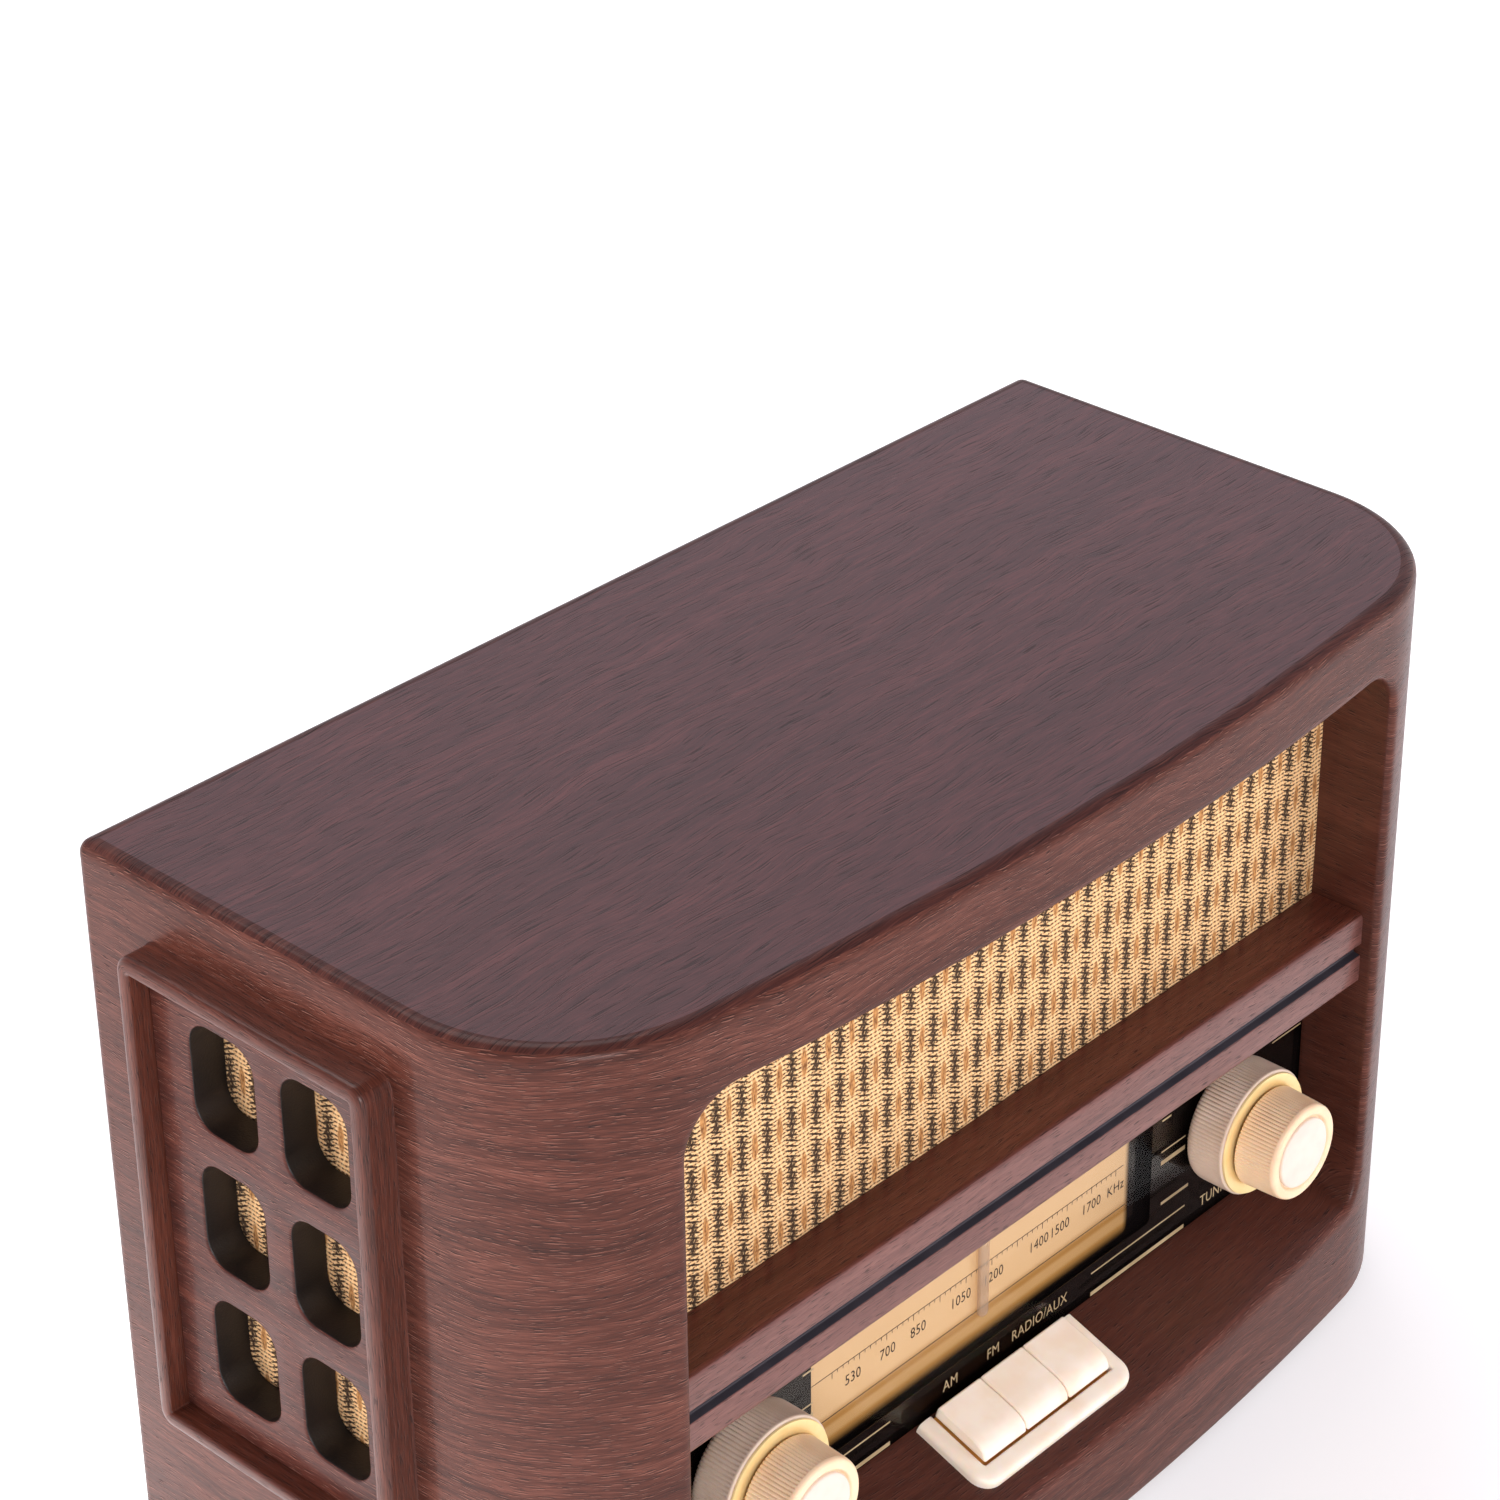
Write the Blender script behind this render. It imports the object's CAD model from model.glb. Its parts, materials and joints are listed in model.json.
"""The look of a walnut table radio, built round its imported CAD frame.

Shapes are worked out in millimetres and become metres as each piece is made.
+X is the radio's right seen from the front, the front faces -Y and +Z is up.
"""

import json
from math import asin, atan, copysign, cos, dist, pi, radians, sin, sqrt

import bmesh
import bpy
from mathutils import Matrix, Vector


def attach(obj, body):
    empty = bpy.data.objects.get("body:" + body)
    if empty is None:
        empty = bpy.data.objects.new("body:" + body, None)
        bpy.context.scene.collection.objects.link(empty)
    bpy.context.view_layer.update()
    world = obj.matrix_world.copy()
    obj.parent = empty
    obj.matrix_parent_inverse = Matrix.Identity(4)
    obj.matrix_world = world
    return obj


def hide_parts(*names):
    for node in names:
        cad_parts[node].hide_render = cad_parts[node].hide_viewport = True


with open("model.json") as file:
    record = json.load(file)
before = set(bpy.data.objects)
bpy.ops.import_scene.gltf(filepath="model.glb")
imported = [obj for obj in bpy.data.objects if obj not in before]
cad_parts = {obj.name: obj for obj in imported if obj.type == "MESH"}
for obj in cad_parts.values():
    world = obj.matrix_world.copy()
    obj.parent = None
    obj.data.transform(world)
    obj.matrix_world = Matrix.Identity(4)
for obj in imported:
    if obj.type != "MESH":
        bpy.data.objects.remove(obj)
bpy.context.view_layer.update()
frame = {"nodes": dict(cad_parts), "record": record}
nodes = frame["nodes"]

MM = 0.001

# ---------------- dimensions, mm

HALF_X, FRONT_Y, BACK_Y = 150.0, -73.5, 73.5
BOTTOM_Z, WRAP_TOP, TOP_Z = 4.0, 196.0, 200.0
BOW_R, CORNER_R, BACK_R = 912.0, 43.0, 3.0
INNER_X = 138.0
BOARD_Y = -46.8
OPEN_HALF, OPEN_LOW, OPEN_TOP, OPEN_R = 116.5, 29.2, 182.0, 13.0
RAMP_Z, RAMP_SLOPE = 38.3, 0.34
RAMP_ANGLE = atan(RAMP_SLOPE)
ROUNDOVER = 3.2
PANEL_Y, PANEL_Z = (-15.9, 48.9), (70.9, 181.1)
PANEL_PROUD, PANEL_THICK = 2.8, 8.8
MOULD_WALL, MOULD_PROUD, MOULD_GAP = 3.8, 8.0, 0.3
WINDOW_Y, WINDOW_Z = (0.8, 28.2), (92.6, 126.8, 161.0)
WINDOW_W, WINDOW_H, WINDOW_R = 19.4, 25.8, 6.0
KNOB_X, KNOB_Z = 84.5, 65.7
SCALE_Y = BOARD_Y + 4.2
GLASS_BACK = BOARD_Y + 1.6
KEY_PITCH = 14.9
RING_BACK, RING_FRONT, RING_R, RING_RIBS = -47.6, -58.4, 16.0, 100
KNOB_BASE, KNOB_FRONT, KNOB_R, KNOB_RIBS = -59.6, -70.8, 12.6, 84
COLUMNS_PER_RIB = 6
RAIL_FRONT, RAIL_Z = -61.5, (94.0, 113.0)
GROOVE_Z, GROOVE_HALF, GROOVE_DEEP = 103.0, 1.6, 2.0
CLOTH_X, CLOTH_Z = (-130.0, 130.0), (104.5, 187.0)
MASK_HALF, MASK_LOW = 59.5, 46.6
LETTER_WIDTH, CAPITAL_HEIGHT = 0.86, 0.7
BACK_FACE = BACK_Y - 4.0
SKIN_LOW, SKIN_RUN = BOTTOM_Z + 1.2, 122.0
HOLE_Z = (PANEL_Z[0] - MOULD_GAP, PANEL_Z[1] + MOULD_GAP)
EDGE_SOFT = 2.4
WALL_STEPS = 6
SHARP = 38.0  # degrees between faces that keep their edge crisp


# ---------------- node materials


def rgb(code):
    """A hex colour as linear RGBA."""
    made = []
    for i in (0, 2, 4):
        c = int(code[i : i + 2], 16) / 255
        made.append(c / 12.92 if c < 0.04045 else ((c + 0.055) / 1.055) ** 2.4)
    return (*made, 1.0)


def fill(band, stops):
    """Sets the three stops of a new colour ramp."""
    band.elements.new(0.5)
    for element, stop in zip(band.elements, stops):
        element.position, element.color = stop


class Graph:
    """A material's node tree, with its sockets combined by the methods below."""

    def __init__(self, name):
        self.material = bpy.data.materials.new(name)
        self.material.use_nodes = True
        self.tree = self.material.node_tree
        self.tree.nodes.clear()

    def plug(self, socket, value):
        """A socket is linked, a hex colour is read, and any other value is set."""
        if isinstance(value, bpy.types.NodeSocket):
            self.tree.links.new(value, socket)
        else:
            socket.default_value = rgb(value) if isinstance(value, str) else value

    def node(self, kind, inputs=None, **settings):
        made = self.tree.nodes.new("ShaderNode" + kind)
        for key, value in settings.items():
            setattr(made, key, value)
        for key, value in (inputs or {}).items():
            self.plug(made.inputs[key], value)
        return made

    def math(self, operation, *values):
        made = self.node("Math", operation=operation)
        for socket, value in zip(made.inputs, values):
            self.plug(socket, value)
        return made.outputs[0]

    def add(self, *values):
        total = values[0]
        for value in values[1:]:
            total = self.math("ADD", total, value)
        return total

    def mul(self, *values):
        total = values[0]
        for value in values[1:]:
            total = self.math("MULTIPLY", total, value)
        return total

    def step(self, value, low, high, to_low=0.0, to_high=1.0):
        """Smooth change from to_low at low to to_high at high."""
        names = ("Value", "From Min", "From Max", "To Min", "To Max")
        made = self.node(
            "MapRange",
            dict(zip(names, (value, low, high, to_low, to_high))),
            interpolation_type="SMOOTHSTEP",
        )
        return made.outputs["Result"]

    def fall(self, value, low, high):
        return self.step(value, low, high, 1.0, 0.0)

    def rest(self, value):
        """What is left of 1."""
        return self.math("SUBTRACT", 1.0, value)

    def wave(self, value, period):
        """A triangle wave from 0 to 1 of that period, 0 where value is 0."""
        return self.mul(self.math("PINGPONG", value, period / 2), 2 / period)

    def point(self, x=0.0, y=0.0, z=0.0):
        return self.node("CombineXYZ", {"X": x, "Y": y, "Z": z}).outputs[0]

    def grain(self):
        """The two coordinates of the grain map, in mm."""
        split = self.node("SeparateXYZ", {"Vector": self.node("UVMap", uv_map="grain").outputs[0]})
        return [self.mul(split.outputs[i], 1000.0) for i in (0, 1)]

    def place(self):
        """The three coordinates of the row frame, in mm."""
        split = self.node("SeparateXYZ", {"Vector": self.node("TexCoord").outputs["Object"]})
        return [self.mul(split.outputs[i], 1000.0) for i in (0, 1, 2)]

    def noise(self, vector, scale=1.0, detail=3.0, roughness=0.5):
        inputs = {"Vector": vector, "Scale": scale, "Detail": detail, "Roughness": roughness}
        return self.node("TexNoise", inputs).outputs[0]

    def streaks(self, u, v, along, across, seed, detail=2.0, roughness=0.5):
        """Noise stretched along the grain, at those frequencies per mm."""
        place = self.point(self.mul(u, along), self.mul(v, across), seed)
        return self.noise(place, detail=detail, roughness=roughness)

    def mix(self, factor, first, second):
        made = self.node("Mix", data_type="RGBA")
        for i, value in ((0, factor), (6, first), (7, second)):
            self.plug(made.inputs[i], value)
        return made.outputs[2]

    def ramp(self, value, stops):
        made = self.node("ValToRGB", {"Fac": value})
        fill(made.color_ramp, stops)
        return made.outputs[0]

    def bump(self, height, distance, strength):
        """Height is in units of distance, which is in mm."""
        inputs = {"Height": height, "Distance": distance * MM, "Strength": strength}
        return self.node("Bump", inputs).outputs[0]

    def surface(self, shader):
        end = self.node("OutputMaterial")
        self.tree.links.new(shader, end.inputs["Surface"])
        return self.material

    def principled(self, **inputs):
        named = {key.replace("_", " "): value for key, value in inputs.items()}
        return self.surface(self.node("BsdfPrincipled", named).outputs[0])


def walnut(name, dark, mid, light, seed, polish, figure, shine, glints, pore=(0.24, 3.6)):
    """Stained and lacquered walnut: growth lines, fine fibre and short open pores along u.

    figure is how far the growth lines wander, glints how strongly a pore's lip catches light,
    and pore the noise frequencies, per mm, along and across the grain.
    """
    g = Graph(name)
    u, v = g.grain()
    drift = g.streaks(u, v, 0.02, 0.03, seed)
    across = g.add(v, g.mul(drift, 9.0 * figure))
    broad = g.streaks(u, across, 0.006, 0.14, seed + 3.0, 3.0, 0.6)
    lines = g.streaks(u, across, 0.03, 0.75, seed + 5.0)
    fibre = g.streaks(u, across, 0.16, 3.2, seed + 7.0)
    pore_u, pore_v = g.mul(u, pore[0]), g.mul(across, pore[1])
    pores = g.step(g.noise(g.point(pore_u, pore_v, seed + 11.0), detail=1.0), 0.585, 0.65)
    lip = g.noise(g.point(pore_u, g.add(pore_v, 0.75), seed + 11.0), detail=1.0)
    glint = g.mul(g.step(lip, 0.62, 0.68), g.rest(pores))
    tone = g.add(g.mul(broad, 0.3), g.mul(lines, 0.3), g.mul(fibre, 0.4))
    colour = g.ramp(tone, ((0.36, rgb(dark)), (0.5, rgb(mid)), (0.63, rgb(light))))
    colour = g.mix(g.mul(pores, 0.62), colour, "1a0c0a")
    colour = g.mix(g.mul(glint, glints), colour, "a87464")
    gloss = g.add(polish, g.mul(fibre, 0.08), g.mul(pores, 0.2))
    height = g.add(g.mul(fibre, 0.3), g.mul(pores, -1.0))
    return g.principled(
        Base_Color=colour,
        Roughness=gloss,
        Specular_IOR_Level=shine,
        Coat_Weight=shine * 0.7,
        Coat_Roughness=0.13,
        Normal=g.bump(height, 0.09, 0.5),
    )


def moulded(name, base, shade, rough=0.38, glow=0.0, grain=0.02, shine=0.5):
    """Moulded plastic with a faint mottle and an orange-peel surface."""
    g = Graph(name)
    here = g.point(*g.place())
    cloud = g.noise(here, 0.12)
    peel = g.noise(here, 2.2, 2.0)
    colour = g.mix(g.step(cloud, 0.35, 0.7), base, shade)
    return g.principled(
        Base_Color=colour,
        Roughness=g.add(rough, g.mul(cloud, 0.08)),
        Specular_IOR_Level=shine,
        Subsurface_Weight=glow,
        Subsurface_Radius=(0.9, 0.45, 0.2),
        Subsurface_Scale=0.002,
        Normal=g.bump(peel, grain, 0.6),
    )


def metal(name, base, shade, rough, body=1.0):
    """Plated or pressed metal with fine scratches."""
    g = Graph(name)
    x, y, z = g.place()
    stain = g.noise(g.point(x, y, z), 0.35, 4.0)
    scratch = g.noise(g.point(g.mul(x, 6.0), g.mul(y, 0.6), g.mul(z, 6.0)), 1.0, 2.0)
    return g.principled(
        Base_Color=g.mix(stain, base, shade),
        Metallic=body,
        Roughness=g.add(rough, g.mul(scratch, 0.14), g.mul(stain, 0.08)),
        Normal=g.bump(scratch, 0.02, 0.3),
    )


def clear(name, tint, shine=0.06, veil=0.0, mirror=0.0):
    """Thin clear glass or acrylic: light passes straight through and the surface reflects."""
    g = Graph(name)
    smear = g.noise(g.point(*g.place()), 0.05)
    rough = g.add(shine * 0.5, g.mul(smear, shine))
    gloss = g.node("BsdfGlossy", {"Color": (1, 1, 1, 1), "Roughness": rough})
    through = g.node("BsdfTransparent", {"Color": tint})
    milky = g.node("BsdfDiffuse", {"Color": "f4efe9", "Roughness": 0.4})
    body = g.node("MixShader", {0: veil, 1: through.outputs[0], 2: milky.outputs[0]})
    slope = g.node("LayerWeight", {"Blend": 0.5}).outputs["Facing"]
    edge = g.add(mirror, g.mul(g.math("POWER", slope, 6.0), 0.5))
    mixed = g.node("MixShader", {0: edge, 1: body.outputs[0], 2: gloss.outputs[0]})
    return g.surface(mixed.outputs[0])


def grille_cloth():
    """Gold jacquard: columns of black dashes and of tan ovals, crossed by slanting threads."""
    g = Graph("cloth_gold_jacquard")
    u, v = g.grain()
    pitch, repeat, weft = 7.4, 13.0, 1.05
    wobble = g.add(g.streaks(u, v, 0.25, 0.25, 2.0), -0.5)
    uu = g.add(u, g.mul(wobble, 0.8))
    vv = g.add(v, g.mul(wobble, -1.0))
    fuzz = g.streaks(u, v, 2.2, 2.2, 5.0, 3.0, 0.7)
    ragged = g.add(fuzz, -0.5)
    # mm from the nearest dash column, from the nearest oval column and from a dash's middle
    from_dash = g.math("PINGPONG", uu, pitch / 2)
    from_oval = g.math("SUBTRACT", pitch / 2, from_dash)
    along = g.math("PINGPONG", vv, repeat / 2)
    thread = g.wave(vv, weft)
    slant = g.wave(g.add(uu, g.mul(vv, 0.4)), pitch / 5)
    counter = g.wave(g.add(uu, g.mul(vv, -0.55)), pitch / 5)
    warp = g.wave(uu, pitch / 6)

    zigzag = g.mul(g.wave(g.add(vv, 1.4), repeat / 6), 0.75)
    dash_edge = g.add(g.math("SUBTRACT", from_dash, zigzag), g.mul(ragged, 1.6))
    dash = g.mul(g.fall(dash_edge, 0.25, 0.6), g.fall(along, 3.8, 4.6))
    gleam = g.step(counter, 0.05, 0.28, 0.7, 0.0)
    gleam = g.math("MAXIMUM", gleam, g.step(thread, 0.02, 0.22, 0.5, 0.0))
    dash = g.mul(dash, g.rest(gleam))
    slope = g.wave(g.add(vv, g.mul(uu, 0.5)), 1.35)
    taper = g.add(slope, g.mul(from_dash, 0.12), g.mul(ragged, 0.6))
    rung = g.mul(g.fall(from_dash, 1.5, 2.5), g.fall(taper, 0.4, 0.52))
    dark = g.math("MAXIMUM", dash, rung)

    oval_u = g.mul(g.add(from_oval, g.mul(ragged, 1.2)), 1 / 0.95)
    oval_v = g.mul(along, 1 / 3.8)
    oval = g.fall(g.add(g.mul(oval_u, oval_u), g.mul(oval_v, oval_v)), 0.5, 1.15)
    streak = g.streaks(u, v, 3.4, 0.5, 8.0)
    beside = g.fall(g.math("ABSOLUTE", g.add(from_oval, -1.5)), 0.15, 0.45)
    tick = g.mul(beside, g.fall(thread, 0.2, 0.42), g.step(along, 3.6, 4.8, 1.0, 0.2))
    pinhole = g.mul(g.fall(thread, 0.3, 0.6), g.fall(warp, 0.35, 0.7))

    gold = g.mix(fuzz, "e09c60", "ffdfa8")
    gold = g.mix(g.step(thread, 0.1, 0.5, 0.6, 0.0), gold, "8c5632")
    gold = g.mix(g.mul(pinhole, 0.85), gold, "4a2a1c")
    gold = g.mix(g.step(slant, 0.04, 0.32, 0.45, 0.0), gold, "ffe0ac")
    tan = g.mix(g.step(streak, 0.35, 0.62), "74431f", "c98d52")
    gold = g.mix(g.mul(oval, 0.9), gold, tan)
    gold = g.mix(g.mul(tick, 0.8), gold, "43241a")
    colour = g.mix(g.mul(dark, 0.95), gold, g.mix(fuzz, "0c0705", "3c261c"))
    height = g.add(g.mul(thread, 0.6), g.mul(slant, -0.3), g.mul(fuzz, 0.4), g.mul(dark, -0.6))
    return g.principled(
        Base_Color=colour,
        Roughness=0.82,
        Specular_IOR_Level=0.12,
        Sheen_Weight=0.04,
        Sheen_Roughness=0.5,
        Normal=g.bump(height, 0.3, 0.8),
    )


def scale_print():
    """The lit scale: cream, darkening to amber along its lower edge, fading to black outside."""
    g = Graph("scale_cream")
    x, y, z = g.place()
    mottle = g.noise(g.point(g.mul(x, 0.05), 0.0, g.mul(z, 0.09)), detail=3.0)
    fibre = g.noise(g.point(x, y, z), 0.9, 2.0)
    cream = g.mix(mottle, "ecca9e", "e2bd90")
    amber = g.mix(mottle, "ab7e44", "bb8e52")
    low = g.step(z, 53.2, 56.5)
    body = g.mix(low, amber, cream)
    lip = g.mul(g.step(z, 48.4, 50.0), g.fall(z, 51.6, 53.0))
    body = g.mix(g.mul(lip, 0.6), body, "d9b482")
    shown = g.mul(g.step(x, -61.0, -60.0), g.fall(x, 52.0, 54.2), g.step(z, 45.6, 49.2))
    colour = g.mix(shown, "0b0a0c", body)
    return g.principled(
        Base_Color=colour,
        Roughness=g.add(0.1, g.mul(fibre, 0.08)),
        Emission_Color=colour,
        Emission_Strength=0.1,
        Normal=g.bump(fibre, 0.01, 0.3),
    )


def hardboard_stain():
    """Pressed fibre board, sealed dark brown."""
    g = Graph("hardboard_brown")
    here = g.point(*g.place())
    fibre = g.noise(here, 1.4, 4.0, 0.7)
    cloud = g.noise(here, 0.06)
    colour = g.mix(g.step(fibre, 0.35, 0.7), "2a1a14", "4a3024")
    colour = g.mix(g.mul(cloud, 0.4), colour, "1d120e")
    gloss = g.add(0.62, g.mul(fibre, 0.2))
    return g.principled(Base_Color=colour, Roughness=gloss, Normal=g.bump(fibre, 0.12, 0.6))


def circuit_board():
    """Green solder mask with a copper shimmer of tracks."""
    g = Graph("board_green")
    x, y, z = g.place()
    up, over = g.step(g.wave(x, 3.1), 0.8, 0.9), g.step(g.wave(y, 4.3), 0.85, 0.92)
    lines = g.math("MAXIMUM", up, over)
    gate = g.step(g.noise(g.point(x, y, 0.0), 0.09, 1.0), 0.48, 0.52)
    colour = g.mix(g.mul(lines, gate, 0.6), "14492a", "2f7a45")
    relief = g.bump(g.mul(lines, gate), 0.03, 0.5)
    return g.principled(Base_Color=colour, Roughness=0.35, Normal=relief)


def wound_copper():
    """Enamelled copper wire wound round a coil."""
    g = Graph("copper_winding")
    x, y, z = g.place()
    turns = g.wave(z, 0.8)
    stain = g.noise(g.point(x, y, z), 0.2)
    colour = g.mix(stain, "9c4f22", "c9743a")
    relief = g.bump(turns, 0.25, 0.8)
    return g.principled(Base_Color=colour, Metallic=0.85, Roughness=0.36, Normal=relief)


def floor_paper():
    """Plain pale studio floor with a barely visible tooth."""
    g = Graph("studio_floor")
    x, y, z = g.place()
    tooth = g.noise(g.point(x, y, z), 0.4)
    colour = g.mix(tooth, (0.90, 0.90, 0.90, 1.0), (0.93, 0.93, 0.93, 1.0))
    away = g.math("SQRT", g.add(g.mul(x, x), g.mul(y, y)))
    beside_x, beside_y = g.add(x, 230.0), g.add(y, -40.0)
    beside = g.math("SQRT", g.add(g.mul(beside_x, beside_x), g.mul(beside_y, beside_y)))
    glow = g.add(g.step(away, 600.0, 3000.0, 0.34, 0.6), g.step(beside, 60.0, 300.0, 1.1, 0.0))
    return g.principled(
        Base_Color=colour,
        Roughness=0.8,
        Specular_IOR_Level=0.2,
        Emission_Color=(1.0, 1.0, 1.0, 1.0),
        Emission_Strength=glow,
    )


WALNUT = {
    "veneer": ("351a14", "50291f", "6c3e32", 1.0, 0.34, 1.0, 0.15, 0.4),
    "lid": ("361b1a", "4a2625", "5f3230", 9.0, 0.32, 1.0, 0.36, 0.04, (0.085, 2.7)),
    "lid_edge": ("301815", "45241f", "5c342b", 9.0, 0.32, 1.0, 0.14, 0.04, (0.085, 2.7)),
    "rail_top": ("4a241b", "5b2f24", "6c3c30", 21.0, 0.36, 0.4, 0.22, 0.1),
    "shelf": ("3f1f17", "4c281e", "5a3126", 21.0, 0.36, 0.4, 0.22, 0.1),
    "rail": ("56322c", "6c423b", "7e5048", 27.0, 0.34, 0.3, 0.4, 0.1),
    "moulding": ("3b1c13", "52291e", "67372a", 15.0, 0.3, 0.4, 0.22, 0.1),
    "plate": ("2e1611", "48231c", "623428", 33.0, 0.36, 0.6, 0.16, 0.4),
}
VENEER, LID, LID_EDGE, RAIL_TOP, SHELF, RAIL, MOULD, PLATE = [
    walnut(f"walnut_{name}", *kind) for name, kind in WALNUT.items()
]
BLACKED = moulded("walnut_blackened", "120c0a", "1c120e", 0.42, grain=0.12)
GROOVE = moulded("groove_paint", "322e34", "3c373d", 0.34)
GROOVE_SHADE = moulded("groove_shade", "0c0a0b", "120f10", 0.4)
CLOTH = grille_cloth()
GLASS = clear("dial_glass_clear", "f5f3f0", 0.03)
ACRYLIC = clear("pointer_acrylic", "efe6dc", 0.08, 0.16, 0.06)
GUIDE = clear("light_guide", "f0ead8", 0.1, 0.5)
MASK = moulded("mask_black", "0f0c0c", "141010", 0.1, grain=0.0, shine=0.45)
PRINT_GOLD = moulded("print_gold", "a08a66", "b39c78", 0.5, grain=0.0)
PRINT_GREY = moulded("print_grey", "33281f", "3d3128", 0.6, grain=0.0)
SCALE = scale_print()
IVORY = moulded("ivory_knob", "f7d8b4", "f0cca6", 0.36, 0.2)
IVORY_GREY = moulded("ivory_ring", "dec6b2", "d2b8a2", 0.42, 0.15)
KEY_IVORY = moulded("ivory_key", "fff0e0", "fae6d0", 0.3, 0.25)
KEY_WELL = moulded("key_well_amber", "eeaa52", "e09a40", 0.5)
PEARL = moulded("pearl_cap", "e4d6c8", "dccdbf", 0.2, 0.1)
GOLD = metal("gold_plate", "ffe8ae", "fcda90", 0.26, body=0.4)
STEEL = metal("zinc_steel", "a7aaae", "8d9094", 0.34)
BLACK = moulded("black_plastic", "141416", "1c1c1f", 0.46, grain=0.1)
RUBBER = moulded("foot_rubber", "101010", "191919", 0.8, grain=0.2)
HARDBOARD = hardboard_stain()
BOARD = circuit_board()
COPPER = wound_copper()

SLOT_LOOKS = {"walnut": SHELF, "walnut_black": BLACKED, "hardboard": HARDBOARD, "cloth": CLOTH}
SLOT_LOOKS |= {"glass": GLASS, "scale": SCALE, "clear_plastic": GUIDE, "pearl": PEARL}
SLOT_LOOKS |= {"ivory": IVORY, "ivory_grey": IVORY_GREY, "gold": GOLD, "steel": STEEL}
SLOT_LOOKS |= {"black_plastic": BLACK, "board": BOARD, "copper": COPPER, "rubber": RUBBER}

# ---------------- shapes


def linked(name, data):
    """A new object of the scene, holding that data."""
    made = bpy.data.objects.new(name, data)
    bpy.context.scene.collection.objects.link(made)
    return made


class Shape:
    """Gathers faces in millimetres and becomes one piece."""

    def __init__(self):
        self.bm = bmesh.new()
        self.uv = self.bm.loops.layers.uv.new("grain")

    def join(self, verts, flat, material):
        made = self.bm.faces.new(verts)
        made.material_index = material
        for loop, place in zip(made.loops, flat):
            loop[self.uv].uv = (place[0] * MM, place[1] * MM)

    def face(self, corners, flat, material=0):
        self.join([self.bm.verts.new(c) for c in corners], flat, material)

    def grid(self, rows, flat, material=0, skip=None):
        """Quads between rows of points; flat gives each point's place on the grain map."""
        made = [[self.bm.verts.new(p) for p in row] for row in rows]
        for i in range(len(rows) - 1):
            for j in range(len(rows[i]) - 1):
                if skip and skip(i, j):
                    continue
                corners = ((i, j), (i, j + 1), (i + 1, j + 1), (i + 1, j))
                kind = material(i, j) if callable(material) else material
                self.join([made[a][b] for a, b in corners], [flat[a][b] for a, b in corners], kind)

    def make(self, name, looks, body="radio", stands_for=(), toward=None):
        """Ends the shape as a smooth-shaded piece, its faces turned outward or that way."""
        bm = self.bm
        bmesh.ops.remove_doubles(bm, verts=bm.verts, dist=0.006)
        bmesh.ops.dissolve_degenerate(bm, dist=0.001, edges=bm.edges)
        bmesh.ops.delete(bm, geom=[v for v in bm.verts if not v.link_faces], context="VERTS")
        bmesh.ops.recalc_face_normals(bm, faces=bm.faces)
        bm.normal_update()
        centre = sum((v.co for v in bm.verts), Vector()) / len(bm.verts)
        side = 0.0
        for f in bm.faces:
            out = Vector(toward) if toward else f.calc_center_median() - centre
            side += f.calc_area() * f.normal.dot(out)
        if side < 0:
            bmesh.ops.reverse_faces(bm, faces=bm.faces)
        for edge in bm.edges:
            edge.smooth = edge.calc_face_angle(0.0) < radians(SHARP)
        for f in bm.faces:
            f.smooth = True
        bmesh.ops.scale(bm, vec=(MM, MM, MM), verts=bm.verts)
        mesh = bpy.data.meshes.new(name)
        bm.to_mesh(mesh)
        bm.free()
        for look in looks if isinstance(looks, (list, tuple)) else [looks]:
            mesh.materials.append(look)
        piece = linked(name, mesh)
        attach(piece, body)
        if stands_for:
            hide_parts(*stands_for)
        return piece


def curve(start, control, end, steps):
    """Points of a quadratic curve, both ends included."""
    made = []
    for t in span(0, 1, steps):
        a, b, c = (1 - t) ** 2, 2 * t * (1 - t), t * t
        made.append(tuple(a * p + b * q + c * r for p, q, r in zip(start, control, end)))
    return made


def soft(points, steps=4):
    """A profile whose corners given as (a, b, radius) are rounded."""
    made = []
    for i, (a, b, *radius) in enumerate(points):
        if radius:
            here = Vector((a, b))
            lines = [Vector(points[k][:2]) - here for k in (i - 1, i + 1)]
            start, end = [here + line.normalized() * radius[0] for line in lines]
            made += curve(start, here, end, steps)
        else:
            made.append((a, b))
    return made


def lengths(points):
    """Running length along a profile."""
    made = [0.0]
    for a, b in zip(points, points[1:]):
        made.append(made[-1] + dist(a, b))
    return made


def seen(rows, a, b):
    """Rows of points seen along one axis, as places on the grain map."""
    return [[(p[a], p[b]) for p in row] for row in rows]


def span(first, last, steps):
    return [first + (last - first) * i / steps for i in range(steps + 1)]


def arc(centre, radius, first, last, steps):
    cx, cy = centre
    return [(cx + radius * cos(a), cy + radius * sin(a)) for a in span(first, last, steps)]


def turned(shape, profile, x, other, columns=64, ribs=0, depth=0.0, upright=False):
    """Radius and y pairs turned about an axis along y, or radius and z pairs about an upright one.

    A third value of 1 marks a ribbed row.
    """
    run = lengths([p[:2] for p in profile])
    rows, flat = [], []
    for k, (radius, level, *rib) in enumerate(profile):
        row, places = [], []
        for angle in span(0, 2 * pi, columns):
            r = radius - depth * (1 - abs(sin(ribs * angle / 2))) if rib else radius
            a, b = x + r * cos(angle), other + r * sin(angle)
            row.append((a, b, level) if upright else (a, level, b))
            places.append((angle * 10, run[k]))
        rows.append(row)
        flat.append(places)
    shape.grid(rows, flat)


# ---------------- cabinet

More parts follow.
